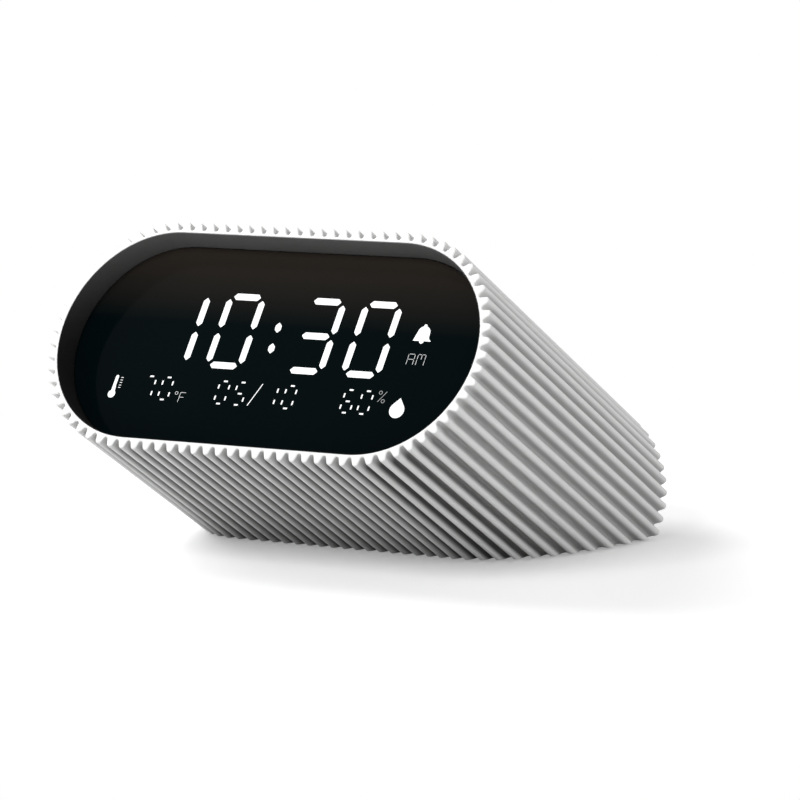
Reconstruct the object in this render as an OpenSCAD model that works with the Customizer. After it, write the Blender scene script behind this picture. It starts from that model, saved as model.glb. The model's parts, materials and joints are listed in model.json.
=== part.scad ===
// Desk alarm clock: a ribbed tube of stadium section, leaning back and cut flat where it stands.
// The case frame has Y along the tube from the front face and Z up the face; tilted() places it.

/* [Case section] */
// Length of the straight part of the section, between its two round ends
straight = 72; // [66:1:82]
// Radius of the round ends of the front opening
opening_r = 31; // [29.5:0.5:33]
// Wall left between the opening and the bottom of the grooves
rim_wall = 0.75; // [0.6:0.05:1.2]
// Height of the ribs above the bottom of the grooves
rib_depth = 2.45; // [1.6:0.05:3]
// Number of ribs round the section
ribs = 88; // [80:4:96]
// Radius of the rounded tips of the ribs
rib_tip_round = 0.95; // [0.7:0.05:1.05]
// Radius of the rounded bottoms of the grooves
groove_round = 0.63; // [0.4:0.05:0.75]
// Wall of the tube from the bottom of the grooves to the inside
wall = 2.3; // [2:0.1:2.8]

/* [Tube] */
// Length of the tube along its axis, from the front face to the rear rim
tube_len = 114.5; // [109:0.5:119]
// Length of the lowest rib, from the front face to where the table cuts it
low_rib_len = 66.5; // [63:0.5:70]
// Angle by which the front face leans back from the vertical
tilt = 31; // [29:0.5:33]
// Thickness of the case's flat floor
floor_t = 2.6; // [2.4:0.1:3.2]

/* [Display] */
// Depth of the recess in front of the window
recess_depth = 8.1; // [6:0.1:10]
// Thickness of the display window
window_t = 2; // [1.5:0.1:2.5]
// Gap line between the window and the wall of the bezel
window_gap = 0.15; // [0.1:0.05:0.4]
// Wall of the bezel round the recess
bezel_wall = 0.45; // [0.4:0.05:0.8]
// Setback of the bezel's front edge from the front face
bezel_setback = 0.1; // [0.1:0.1:0.8]
// Thickness of the bezel's flange behind the window
flange_t = 1.5; // [1.2:0.1:2.5]
// Margin from the opening to the display glass, above and below
glass_margin_z = 11; // [10:0.5:14]
// Margin from the opening to the display glass, at each end
glass_margin_x = 13; // [12:0.5:18]
// Thickness of the display glass, both plates together
glass_t = 2.5; // [2:0.1:3]
// Height of the contact ledge along the lower edge of the display glass
ledge_h = 3.5; // [3:0.1:5]
// Thickness of the light guide
guide_t = 2.5; // [2:0.1:3.5]

/* [Electronics] */
// Thickness of the circuit boards
board_t = 1.6; // [1.2:0.2:2]
// Distance from the display carrier to the main board
board_standoff = 5.4; // [4.5:0.1:9]
// Width of the ribbon cable between the two boards
ribbon_w = 12; // [8:1:16]
// Thickness of the ribbon cable
ribbon_t = 0.9; // [0.6:0.1:1.2]

/* [Rear panel] */
// Depth of the rear cover below the rear rim
cover_recess = 2; // [1:0.1:3]
// Thickness of the rear cover
cover_t = 2; // [1.6:0.1:2.6]
// Radius of the round buttons
button_r = 4; // [3.2:0.1:4.4]
// Length of the straight part of the oval snooze button
snooze_straight = 8; // [6:0.5:9]
// Height of the buttons above the cover's face
button_proud = 1.2; // [0.6:0.1:1.8]
// Travel of a button
button_travel = 0.5; // [0.3:0.05:0.6]
// Distance between neighbouring round buttons
button_pitch = 14; // [12.5:0.5:14.5]
// Height of the button row above the section's centre line
button_row = 18.5; // [17.5:0.5:19]
// Travel of the alarm switch
switch_travel = 4; // [3:0.5:5]
// Radius of the loudspeaker
speaker_r = 9; // [7.5:0.5:9.5]

/* [Batteries] */
// Radius of a battery cell
cell_r = 5.25; // [5:0.05:5.4]
// Length of a battery cell with its contact tip
cell_len = 44.5; // [43:0.5:45.5]
// Space for the contact spring at one end of a cell
spring_space = 3.5; // [3:0.1:4.5]
// Thickness of the battery door
door_t = 2; // [1.8:0.1:2.2]

/* [Base] */
// Radius of a rubber foot
foot_r = 4.5; // [3.5:0.1:5]
// Height by which the feet stand proud of the floor
foot_proud = 0.6; // [0.4:0.1:1.2]
// Depth of the recess that holds a foot
foot_seat = 0.8; // [0.5:0.1:1.2]
// Height of the ballast blocks
ballast_h = 15; // [10:0.5:15]

/* [Hidden] */
$fn = 48;

// Clearances
fit = 0.1;          // between fixed pieces that nest
slip = 0.25;        // between a moving piece and what guides it
stack_gap = 0.1;    // between layers of the display stack
running = 0.05;     // of a switch plunger in its hole
loose = 0.3;        // round pieces that others hold, and past the end of a travel

// Screws
screw_r = 1;        // shank
pilot_r = 1.05;     // hole that a screw cuts into
pass_r = 1.3;       // hole that a screw passes through
head_r = 2;
head_h = 1.2;
post_r = 2.6;       // round post that takes a screw
end_gap = 0.4;      // from a screw's end to the bottom of its post
big = 400;          // larger than the whole clock
lap = 0.1;          // by which joined shapes run into each other
reach = 1;          // by which cutting shapes run past a face

// Section of the case
valley_r = opening_r + rim_wall;
tip_r = valley_r + rib_depth;
inner_r = valley_r - wall;
lined_r = inner_r - fit;
rib_line_r = valley_r + rib_depth / 4;
half_straight = straight / 2;
rib_arc = PI * rib_line_r;
rib_pitch = (2 * straight + 2 * rib_arc) / ribs;
// One rib with half a groove on its left, as [distance from its centre, height above the grooves]
rib_profile = concat(
    [for (a = [0, 40, 75]) groove_point(a)],
    [for (a = [-75:25:75]) [rib_tip_round * sin(a), rib_depth - rib_tip_round * (1 - cos(a))]],
    [for (a = [75, 40]) let (p = groove_point(a)) [-p[0], p[1]]]);
function groove_point(a) = [groove_round * sin(a) - rib_pitch / 2, groove_round * (1 - cos(a))];

// Place of the case frame: the front face's centre over the table, the whole centred over the origin
y0 = -tube_len * cos(tilt) / 2;
z0 = foot_proud + tip_r * cos(tilt) + low_rib_len * sin(tilt);
floor_top = foot_proud + floor_t;

// Layers of the display, as depths behind the front face
window_back = recess_depth + window_t;
bezel_back = window_back + flange_t;
glass_front = window_back + 2 * stack_gap;
glass_back = glass_front + glass_t;
guide_front = glass_back + 2 * stack_gap;
guide_back = guide_front + guide_t;
reflector_t = 0.3;
reflector_back = guide_back + stack_gap + reflector_t;
carrier_front = reflector_back + stack_gap;
carrier_t = 2;
carrier_back = carrier_front + carrier_t;
board_front = carrier_back + board_standoff;
board_back = board_front + board_t;
liner_r = opening_r - fit;
window_r = liner_r - bezel_wall - window_gap;
glass_w = straight + 2 * (opening_r - glass_margin_x);
glass_h = 2 * (opening_r - glass_margin_z);
strip_w = 2.2;      // depth of the lamp strip at the end of the light guide
guide_margin = 2;   // by which the light guide is smaller than the glass, all round
carrier_wall = 1.4;
ear_post_out = [4, 4.5];     // past the end of the straight part, and above the display glass
ear_post_x = half_straight + ear_post_out[0];
ear_post_z = glass_h / 2 + ear_post_out[1];
ear_post_len = 3.5;
ear_t = 2.5;
ear_w = 7;
carrier_post_out = 4;        // past the end of the display glass
carrier_post_x = glass_w / 2 + carrier_post_out;
carrier_post_z = 8;
main_inset = [7, 2];         // by which the main board is smaller than the glass, on each side
main_w = glass_w - 2 * main_inset[0];
main_h = glass_h - 2 * main_inset[1];
main_post_in = [5, 4];       // of the main board's screws from its edges
main_post_x = main_w / 2 - main_post_in[0];
main_post_z = main_h / 2 - main_post_in[1];

// Layers of the rear panel
cover_back = tube_len - cover_recess;
cover_front = cover_back - cover_t;
rear_floor = (floor_top - z0 + cover_back * sin(tilt)) / cos(tilt);  // the floor at the cover's face
cover_boss_r = 3.2;
cover_boss_len = 12.5;
cover_boss_in = 2.6;   // of the cover screws from the inside of the tube
cover_boss_line = inner_r - cover_boss_in;
low_screw_rise = 5.2;  // of the lower cover screws above the floor, along the cover's face
high_screw_angle = 62;
cover_screw_angles = [asin((rear_floor + low_screw_rise) / cover_boss_line), high_screw_angle];
cover_screw_bite = 8;  // length of a cover screw in its boss
button_flange_t = 0.9;
button_flange_w = 1;   // by which the flange is wider than the cap
flange_back = cover_front - stack_gap;
flange_front = flange_back - button_flange_t;
switch_top = flange_front - button_travel - loose;
switch_h = 3.5;
switch_w = 6;
key_back = switch_top - switch_h;
key_front = key_back - board_t;
plunger_r = 1.7;
plunger_in = 2;        // length of a plunger inside its switch
speaker_in = 13;       // of the loudspeaker from the line of the cover screws
speaker_x = half_straight + cover_boss_line - speaker_in;
speaker_z = (rear_floor + cover_boss_line * sin(high_screw_angle) - cover_boss_r) / 2;
low_drop = 0.5;        // of the power inlet and the alarm switch below the loudspeaker's middle
low_row = speaker_z - low_drop;
speaker_ring = 1.2;
speaker_depth = 4;
speaker_seat = 0.2;    // gap between the loudspeaker and the cover
speaker_rim = 1.2;     // wall of the loudspeaker's frame
magnet_r = 4;
magnet_len = 2.4;
magnet_front = 2.6;    // distance from the cover to the magnet
sensor_board = [19, 1, 10];
sensor_gap = 3.5;      // distance from the cover to the climate sensor's board
sensor_chip = 3;
sensor_chip_t = 0.9;
sensor_post_x = 8;
sensor_post_r = 1.5;
key_speaker_gap = 0.8;
key_half = speaker_x - speaker_r - speaker_ring - key_speaker_gap;
key_edge = 7;          // from the outer buttons to the ends of the key board
outer_key_x = key_half - key_edge;
inner_key_x = outer_key_x - button_pitch;
key_below = 4.5;       // from the power inlet's middle to the key board's lower edge
key_above = 9;         // from the button row to its upper edge
key_low = low_row - key_below;
key_high = button_row + key_above;
key_screw_in = [3, 4]; // of the key board's screws from its upper edge and from its ends
key_post_r = 2.2;
key_screw_bite = 4;    // length of a key board screw in its post
switch_inset = 12;     // of the alarm switch from the outer button
switch_x = switch_inset - outer_key_x;
knob_w = 4.4;
knob_h = 3;
knob_lead = 2.2;       // depth of the knob's stem in its switch
stem_half = [1, 0.8];  // half width and half height of the knob's stem
slide_body_half = [3.2, 2.6];

// Batteries and what stands on the floor
cell_gap = 0.35;
tray_wall = 1.2;
contact_t = 0.4;
contact_half = 4;
cell_tip_r = 1.9;
cell_tip_len = 0.9;
bay_half = (cell_len + spring_space + 2 * contact_t) / 2;
bay_depth = 4 * cell_r + 3 * cell_gap;
floor_middle = (floor_edge(inner_r, floor_top) + rear_edge(cover_front, floor_top)) / 2;
bay_y0 = floor_middle - bay_depth / 2;
bay_y1 = bay_y0 + bay_depth;
cell_z = floor_top + cell_gap + cell_r;
bay_top = cell_z + cell_r + cell_gap;
cell_y = [bay_y0 + cell_gap + cell_r, bay_y1 - cell_gap - cell_r];
tongue_w = 1.2;
tongue_t = 0.8;
groove_gap = 0.2;
grips = 5;             // finger grooves across the battery door
grip_half = 7;
grip_w = 1;
grip_pitch = 2.2;
grip_depth = 0.5;
tray_ear_lap = 0.6;    // by which the tray's screw posts run into its walls
tray_ear_x = bay_half + tray_wall + post_r - tray_ear_lap;
tray_ear_h = 8;
base_screw_bite = 6;   // length of a base screw above the floor
tray_ear_y = (bay_y0 + bay_y1) / 2;
ballast_x0 = tray_ear_x + post_r + 1;
ballast_y0 = bay_y0 + 4;
ballast_x1 = half_width(inner_r, ballast_y0, floor_top) - 1.5;
ballast_screw_x = (ballast_x0 + ballast_x1) / 2;
foot_y_front = floor_edge(valley_r, foot_proud) + foot_r + 1.8;
foot_y_rear = rear_edge(tube_len, foot_proud) - foot_r - 2.4;
foot_x_front = bay_half + tongue_w + groove_gap + foot_r + 2;
foot_x_rear = half_width(valley_r, foot_y_rear, foot_proud) - foot_r - 7;

// Distance behind the front centre where the lower wall of radius r meets height z
function floor_edge(r, z) = ((z0 - z) * cos(tilt) - r) / sin(tilt);
// Distance behind the front centre where the section at depth y meets height z
function rear_edge(y, z) = (y - (z0 - z) * sin(tilt)) / cos(tilt);
// Half width of a section of radius r, over the point at distance y and height z
function half_width(r, y, z) =
    half_straight + sqrt(pow(r, 2) - pow(y * sin(tilt) - (z0 - z) * cos(tilt), 2));

// Point of a stadium outline of radius r, at distance s along the ribs' pitch line
function stadium_point(s, r) =
    s < 0 ? stadium_point(s + ribs * rib_pitch, r) :
    s <= half_straight ? [s, -r] :
    s <= half_straight + rib_arc ? end_point(half_straight, r, s - half_straight, -90) :
    s <= 3 * half_straight + rib_arc ? [2 * half_straight + rib_arc - s, r] :
    s <= 3 * half_straight + 2 * rib_arc ?
        end_point(-half_straight, r, s - 3 * half_straight - rib_arc, 90) :
    [s - ribs * rib_pitch, -r];
function end_point(x, r, s, start) =
    let (a = start + s / rib_line_r * 180 / PI) [x + r * cos(a), r * sin(a)];

// ---- frames and shared shapes ----

module tilted() translate([0, y0, z0]) rotate([-tilt, 0, 0]) children();
module grounded() translate([0, y0, 0]) children();
module above(z) translate([-big / 2, -big / 2, z]) cube(big);
module span(low, high) translate(low) cube(high - low);

// Extrudes a section, drawn as seen from the front, from depth y_from to y_to
module prism(y_from, y_to)
    translate([0, y_to, 0]) rotate([90, 0, 0]) linear_extrude(y_to - y_from) children();

module stadium(r, length = straight) {
    if (length > 0) square([length, 2 * r], center = true);
    for (side = [-1, 1]) translate([side * length / 2, 0]) circle(r);
}

module facing_rear(p) translate(p) rotate([-90, 0, 0]) children();
module facing_front(p) translate(p) rotate([90, 0, 0]) children();
module facing_down(p) translate(p) rotate([180, 0, 0]) children();
module mirrored_x() for (side = [0, 1]) mirror([side, 0, 0]) children();
module four_corners() for (i = [0, 1], j = [0, 1]) mirror([i, 0, 0]) mirror([0, 0, j]) children();

// Screw with its seat at the origin, its head above and its shank below
module screw(shank_len, shank_r = screw_r) {
    slot_w = 0.5;
    difference() {
        union() {
            cylinder(r = head_r, h = head_h);
            translate([0, 0, -shank_len]) cylinder(r = shank_r, h = shank_len + lap);
        }
        for (turn = [0, 90]) rotate(turn)
            translate([-head_r * 0.6, -slot_w / 2, head_h * 0.45]) cube([head_r * 1.2, slot_w, head_h]);
    }
}

// Flat lead that sags between two points [depth, height] of the case frame
module lead(x, width, thick, from, to, sag) {
    steps = 14;
    function at(i, side) =
        let (u = i / steps)
        from + (to - from) * u + [0, -4 * sag * u * (1 - u) + side * thick / 2];
    outline = concat([for (i = [0:steps]) at(i, -1)], [for (i = [0:steps]) at(steps - i, 1)]);
    translate([x - width / 2, 0, 0]) rotate([90, 0, 90]) linear_extrude(width) polygon(outline);
}

// ---- case ----

module rib_outline() polygon([for (k = [0:ribs - 1], p = rib_profile)
    stadium_point(k * rib_pitch + p[0], valley_r + p[1])]);

module bay_opening() {
    half = bay_half + tongue_w + groove_gap + slip;
    end = rear_edge(tube_len, floor_top) + reach;
    middle = foot_proud + door_t / 2;
    span([-bay_half, bay_y0, foot_proud - reach], [bay_half, end, floor_top + reach]);
    span([-half, bay_y0, middle - tongue_t / 2 - groove_gap],
        [half, end, middle + tongue_t / 2 + groove_gap]);
}

module foot_places() for (p = [[foot_x_front, foot_y_front], [foot_x_rear, foot_y_rear]])
    mirrored_x() translate([p[0], p[1], 0]) children();

module base_screw_places() for (x = [tray_ear_x, ballast_screw_x])
    mirrored_x() facing_down([x, tray_ear_y, foot_proud + head_h]) children();

module cover_boss_places() for (a = cover_screw_angles) mirrored_x()
    translate([half_straight + cover_boss_line * cos(a), 0, cover_boss_line * sin(a)]) children();

module shell_ears() intersection() {
    four_corners() span([ear_post_x - ear_w / 2, bezel_back + ear_post_len, ear_post_z - 3],
        [ear_post_x + ear_w / 2, bezel_back + ear_post_len + ear_t, valley_r]);
    prism(0, tube_len) stadium(inner_r + wall / 2);
}

module shell_bosses() intersection() {
    cover_boss_places() facing_rear([0, cover_front - cover_boss_len, 0])
        cylinder(r = cover_boss_r, h = cover_boss_len);
    prism(0, tube_len) stadium(inner_r + wall / 2);
}

module ribbed_shell() color("white") difference() {
    union() {
        difference() {
            intersection() {
                tilted() prism(0, tube_len) rib_outline();
                above(foot_proud);
            }
            intersection() {
                tilted() prism(bezel_back - reach, tube_len + reach) stadium(inner_r);
                above(floor_top);
            }
        }
        tilted() shell_ears();
        tilted() shell_bosses();
    }
    tilted() prism(-reach, bezel_back) stadium(opening_r);
    tilted() four_corners() facing_rear([ear_post_x, bezel_back, ear_post_z])
        cylinder(r = pass_r, h = ear_post_len + ear_t + reach);
    tilted() cover_boss_places() facing_rear([0, cover_front - cover_screw_bite - reach, 0])
        cylinder(r = pilot_r, h = cover_screw_bite + 2 * reach);
    grounded() bay_opening();
    grounded() foot_places() translate([0, 0, foot_proud - reach])
        cylinder(r = foot_r + fit, h = foot_seat + reach);
    grounded() base_screw_places() {
        cylinder(r = head_r + fit, h = big);
        translate([0, 0, -floor_t]) cylinder(r = pass_r, h = floor_t + lap);
    }
}

module rubber_feet() color("dimgray") grounded() foot_places()
    cylinder(r = foot_r, h = foot_proud + foot_seat);

// ---- display ----

module front_bezel() color([0.09, 0.09, 0.09]) tilted() difference() {
    union() {
        difference() {
            prism(bezel_setback, bezel_back) stadium(liner_r);
            prism(bezel_setback - reach, window_back) stadium(liner_r - bezel_wall);
        }
        four_corners() facing_rear([ear_post_x, bezel_back - lap, ear_post_z])
            cylinder(r = post_r, h = ear_post_len + lap);
        four_corners() facing_rear([carrier_post_x, bezel_back - lap, carrier_post_z])
            cylinder(r = post_r, h = carrier_front - bezel_back + lap);
    }
    prism(window_back - lap, bezel_back + reach)
        square([glass_w + 2 * loose, glass_h + 2 * loose], center = true);
    four_corners() facing_rear([ear_post_x, bezel_back, ear_post_z])
        cylinder(r = pilot_r, h = ear_post_len + reach);
    four_corners() facing_rear([carrier_post_x, bezel_back, carrier_post_z])
        cylinder(r = pilot_r, h = carrier_front - bezel_back + reach);
}

module display_window() color([0.03, 0.04, 0.045]) tilted()
    prism(recess_depth, window_back) stadium(window_r);

module lcd_panel() color([0.12, 0.14, 0.15]) tilted() {
    middle = glass_front + glass_t / 2;
    span([-glass_w / 2, glass_front, -glass_h / 2], [glass_w / 2, middle, glass_h / 2]);
    span([-glass_w / 2, middle, ledge_h - glass_h / 2], [glass_w / 2, glass_back, glass_h / 2]);
}

module light_guide() color("whitesmoke") tilted()
    span([guide_margin - glass_w / 2, guide_front, guide_margin - glass_h / 2],
        [glass_w / 2 - guide_margin - strip_w - fit, guide_back, glass_h / 2 - guide_margin]);

module reflector_sheet() color("white") tilted()
    span([guide_margin - glass_w / 2, guide_back + stack_gap, guide_margin - glass_h / 2],
        [glass_w / 2 - guide_margin, reflector_back, glass_h / 2 - guide_margin]);

module backlight_strip() color("gold") tilted() {
    strip_end = glass_w / 2 - guide_margin;
    strip_board = 1;
    lamps = 6;
    lamp_w = 3;
    lamp_margin = 0.3;
    lamp_pitch = (glass_h - 2 * guide_margin) / lamps;
    span([strip_end - strip_board, guide_front, guide_margin - glass_h / 2],
        [strip_end, guide_back, glass_h / 2 - guide_margin]);
    for (i = [0:lamps - 1])
        translate([strip_end - strip_w, guide_front + lamp_margin,
                (i + 0.5 - lamps / 2) * lamp_pitch - lamp_w / 2])
            cube([strip_w - strip_board + lap, guide_t - 2 * lamp_margin, lamp_w]);
}

module lcd_carrier() color("white") tilted() {
    inner_w = glass_w - 2 * guide_margin + 2 * loose;
    inner_h = glass_h - 2 * guide_margin + 2 * loose;
    plate_edge = 3;     // from the outer screws to the edge of the back plate
    difference() {
        union() {
            prism(guide_front, carrier_back)
                square([inner_w + 2 * carrier_wall, inner_h + 2 * carrier_wall], center = true);
            prism(carrier_front, carrier_back)
                square([2 * (carrier_post_x + plate_edge), 2 * (carrier_post_z + plate_edge)],
                    center = true);
            four_corners() facing_rear([main_post_x, carrier_back - lap, main_post_z])
                cylinder(r = post_r, h = board_standoff + lap);
        }
        prism(guide_front - reach, carrier_front) square([inner_w, inner_h], center = true);
        four_corners() facing_rear([carrier_post_x, carrier_front - reach, carrier_post_z])
            cylinder(r = pass_r, h = carrier_t + 2 * reach);
        four_corners() facing_rear([main_post_x, carrier_back, main_post_z])
            cylinder(r = pilot_r, h = board_standoff + reach);
    }
}

module display_flex() color("peru") tilted() {
    film = 0.3;
    start = bezel_back + stack_gap;
    top = ledge_h - glass_h / 2 - 0.8;
    low = -glass_h / 2 - 2.4;
    end = board_front - flex_socket[1] / 2;
    span([-film_w / 2, start, low], [film_w / 2, start + film, top]);
    span([-film_w / 2, start, low - film], [film_w / 2, end, low]);
    span([-film_w / 2, end - film, low - film], [film_w / 2, end, flex_socket_z - flex_socket[2] / 2]);
}

// ---- electronics ----

film_w = 30;           // width of the display's flexible film
flex_socket = [film_w + 2, 2, 3];
flex_socket_z = flex_socket[2] - main_h / 2;
plug_depth = 5;
plug_h = 5;
plug_wall = 1.5;       // by which a plug is wider than its cable, on each side
ribbon_z = 2;          // height of the ribbon cable's plug on the main board
ribbon_key_z = 13;     // and on the key board
ribbon_sag = 5;
lead_w = 2.4;
lead_t = 1.2;
battery_plug_out = 0.6;   // past the end of the battery bay
battery_plug_rise = 4;    // above the main board's lower edge
battery_plug = [bay_half + battery_plug_out, battery_plug_rise - main_h / 2];
battery_lead_sag = 3;
battery_lead_rise = 0.6;  // height of the battery lead's end above the tray
speaker_plug_out = 3.5;   // past the end of the key board
speaker_plug_z = 6;
speaker_plug = [-key_half - speaker_plug_out, speaker_plug_z];
speaker_lead_sag = 6;

// Parts on the back of the main board, as [[x, height], [width, depth, height]]
processor = [[-14, -4], [9, 1.4, 9]];
clock_chip = [[6, -10], [5, 1.2, 4]];
crystal = [[-2, -10], [6, 2, 2]];
coil = [[22, 4], [6, 3, 6]];
ribbon_socket = [[0, ribbon_z], [ribbon_w + 2 * plug_wall, plug_depth, plug_h]];
battery_socket = [battery_plug, [lead_w + 4 * plug_wall, plug_depth, plug_h]];
speaker_socket = [speaker_plug, [lead_w + 2 * plug_wall, plug_depth, plug_h]];
capacitor_x = [-26, -20];
capacitor_z = 11;
capacitor_r = 2.5;
capacitor_len = 7;

module board(w, z_low, z_high, y_from, y_to)
    span([-w / 2, y_from, z_low], [w / 2, y_to, z_high]);

module main_board() color("darkgreen") tilted() difference() {
    board(main_w, -main_h / 2, main_h / 2, board_front, board_back);
    four_corners() facing_rear([main_post_x, board_front - reach, main_post_z])
        cylinder(r = pass_r, h = board_t + 2 * reach);
}

module main_board_parts() color("dimgray") tilted() {
    for (part = [processor, clock_chip, crystal, coil, ribbon_socket, battery_socket, speaker_socket])
        let (place = part[0], size = part[1])
        translate([place[0] - size[0] / 2, board_back, place[1] - size[2] / 2]) cube(size);
    for (x = capacitor_x) facing_rear([x, board_back, capacitor_z])
        cylinder(r = capacitor_r, h = capacitor_len);
    translate([-flex_socket[0] / 2, board_front - flex_socket[1], flex_socket_z - flex_socket[2] / 2])
        cube(flex_socket);
}

module ribbon_cable() color("lightgray") tilted() lead(0, ribbon_w, ribbon_t,
    [board_back + plug_depth, ribbon_z], [key_front, ribbon_key_z], ribbon_sag);

module battery_lead() color("firebrick") tilted() {
    y = bay_y0 + tray_wall;
    z = bay_top + tray_wall + battery_lead_rise;
    end = [y * cos(tilt) + (z0 - z) * sin(tilt), y * sin(tilt) - (z0 - z) * cos(tilt)];
    lead(battery_plug[0], lead_w, lead_t, [board_back + plug_depth, battery_plug[1]], end,
        battery_lead_sag);
}

module speaker_lead() color("black") tilted()
    lead(speaker_plug[0], lead_w, lead_t, [board_back + plug_depth, speaker_plug[1]],
        [cover_front - speaker_seat - speaker_depth, speaker_z], speaker_lead_sag);

// ---- rear panel ----

// Places of the five buttons, from left to right as seen from the front
key_x = [-outer_key_x, -inner_key_x, 0, inner_key_x, outer_key_x];
function key_straight(i) = i == 2 ? snooze_straight : 0;

module key_section(i, grow) translate([key_x[i], button_row]) stadium(button_r + grow, key_straight(i));

module button(i) color("gainsboro") tilted() {
    prism(flange_back - lap, cover_back + button_proud) key_section(i, 0);
    prism(flange_front, flange_back) key_section(i, button_flange_w);
}

module plunger(i) color("dimgray") tilted()
    facing_rear([key_x[i], switch_top - plunger_in, button_row])
        cylinder(r = plunger_r, h = flange_front - switch_top + plunger_in);

module switch_bodies() color("silver") tilted() for (x = key_x) difference() {
    span([x - switch_w / 2, key_back, button_row - switch_w / 2],
        [x + switch_w / 2, switch_top, button_row + switch_w / 2]);
    facing_rear([x, switch_top - plunger_in - button_travel - loose, button_row])
        cylinder(r = plunger_r + running, h = plunger_in + button_travel + reach);
}

// Span that a piece of that half width and height needs as it slides with the alarm switch
module sliding_span(half, y_from, y_to, gap = 0)
    span([switch_x - half[0] - switch_travel - gap, y_from, low_row - half[1] - gap],
        [switch_x + half[0] + gap, y_to, low_row + half[1] + gap]);

module alarm_switch() color("gainsboro") tilted() {
    neck = switch_top + loose;
    span([switch_x - knob_w / 2, neck, low_row - knob_h / 2],
        [switch_x + knob_w / 2, cover_back + button_proud, low_row + knob_h / 2]);
    span([switch_x - stem_half[0], switch_top - knob_lead, low_row - stem_half[1]],
        [switch_x + stem_half[0], neck + lap, low_row + stem_half[1]]);
}

module slide_switch_body() color("silver") tilted() difference() {
    sliding_span(slide_body_half, key_back, switch_top);
    sliding_span(stem_half, switch_top - knob_lead - loose, switch_top + reach, slip);
}

module key_board() color("darkgreen") tilted() difference() {
    span([-key_half, key_front, key_low], [key_half, key_back, key_high]);
    key_post_places() facing_rear([0, key_front - reach, 0]) cylinder(r = pass_r, h = board_t + 2 * reach);
}

module key_post_places() mirrored_x() {
    translate([(outer_key_x + inner_key_x) / 2, 0, key_high - key_screw_in[0]]) children();
    translate([key_half - key_screw_in[1], 0, key_low + key_screw_in[0] + 0.5]) children();
}

usb_w = 8.94;
usb_h = 3.2;
usb_lip = 0.3;       // wall of the inlet's metal shell
usb_face = 0.4;      // depth of the inlet's mouth below the cover's face
usb_base = 1;        // thickness of the inlet's closed end
usb_tongue_w = 6.6;
usb_tongue_t = 0.7;
usb_tongue_in = 1.2; // depth of the tongue below the mouth

module usb_shell() color("silver") tilted() difference() {
    prism(key_back, cover_back - usb_face) translate([0, low_row])
        stadium(usb_h / 2, usb_w - usb_h);
    prism(key_back + usb_base, cover_back) translate([0, low_row])
        stadium(usb_h / 2 - usb_lip, usb_w - usb_h);
}

module usb_tongue() color("black") tilted()
    span([-usb_tongue_w / 2, key_back + usb_base, low_row - usb_tongue_t / 2],
        [usb_tongue_w / 2, cover_back - usb_face - usb_tongue_in, low_row + usb_tongue_t / 2]);

module grille_slots() {
    slot_pitch = 3;
    slot_half = 0.75;
    slot_field_r = speaker_r - 2;
    for (i = [-2:2]) {
        rise = sqrt(pow(slot_field_r, 2) - pow(i * slot_pitch, 2));
        translate([i * slot_pitch, speaker_z]) rotate(90) stadium(slot_half, 2 * rise);
    }
}

module rear_cover() color("whitesmoke") difference() {
    union() {
        intersection() {
            tilted() prism(cover_front, cover_back) stadium(lined_r);
            above(floor_top + fit);
        }
        tilted() key_post_places() facing_front([0, cover_front + lap, 0])
            cylinder(r = key_post_r, h = cover_front - key_back + lap);
        tilted() translate([-speaker_x, 0, 0]) difference() {
            facing_front([0, cover_front + lap, speaker_z])
                cylinder(r = speaker_r + speaker_ring, h = speaker_depth + lap);
            facing_front([0, cover_front + 2 * lap, speaker_z])
                cylinder(r = speaker_r + fit, h = speaker_depth + reach);
        }
        tilted() translate([speaker_x, 0, speaker_z]) mirrored_x()
            facing_front([sensor_post_x, cover_front + lap, 0])
                cylinder(r = sensor_post_r, h = sensor_gap + lap);
    }
    tilted() prism(cover_front - reach, cover_back + reach) {
        for (i = [0:4]) key_section(i, slip);
        mirrored_x() translate([speaker_x, 0]) grille_slots();
        translate([0, low_row]) stadium(usb_h / 2 + slip, usb_w - usb_h);
    }
    tilted() sliding_span([knob_w, knob_h] / 2, cover_front - reach, cover_back + reach, slip);
    tilted() cover_boss_places() {
        facing_rear([0, cover_front - reach, 0]) cylinder(r = pass_r, h = cover_t + 2 * reach);
        facing_rear([0, cover_back - head_h, 0]) cylinder(r = head_r + fit, h = head_h + reach);
    }
    tilted() key_post_places() facing_front([0, key_back + key_screw_bite + end_gap, 0])
        cylinder(r = pilot_r, h = key_screw_bite + end_gap + reach);
}

module speaker_place() tilted() translate([-speaker_x, cover_front, speaker_z]) children();

module speaker_frame() color("dimgray") speaker_place() difference() {
    facing_front([0, -speaker_seat, 0]) cylinder(r = speaker_r, h = speaker_depth);
    facing_front([0, 0, 0]) cylinder(r = speaker_r - speaker_rim, h = speaker_depth - 1);
    facing_front([0, 0, 0]) cylinder(r = magnet_r + fit, h = speaker_depth + reach);
}

// The paper cone with its dome, as a ring of thickness film turned round the loudspeaker's axis
module speaker_cone() color("black") speaker_place() {
    film = 0.3;
    dome = [2.2, 1.9];              // radius and depth of the dome's edge
    edge = [speaker_r - speaker_rim - 0.2, 0.8];
    roll = [edge[0] - 1.2, edge[1]];
    rotate([90, 0, 0]) rotate_extrude() polygon([[0, dome[1] - 0.2], dome, roll, edge,
        edge + [0, film], roll + [0, film], dome + [0, film + lap], [0, dome[1] + 0.2]]);
}

module speaker_magnet() color("silver") speaker_place() facing_front([0, -magnet_front, 0])
    cylinder(r = magnet_r, h = magnet_len);

module climate_sensor() color("darkgreen") tilted() translate([speaker_x, 0, speaker_z]) {
    face = cover_front - sensor_gap;
    translate([-sensor_board[0] / 2, face - sensor_board[1], -sensor_board[2] / 2]) cube(sensor_board);
    translate([-sensor_chip / 2, face - lap, -sensor_chip / 2])
        cube([sensor_chip, sensor_chip_t + lap, sensor_chip]);
}

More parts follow.
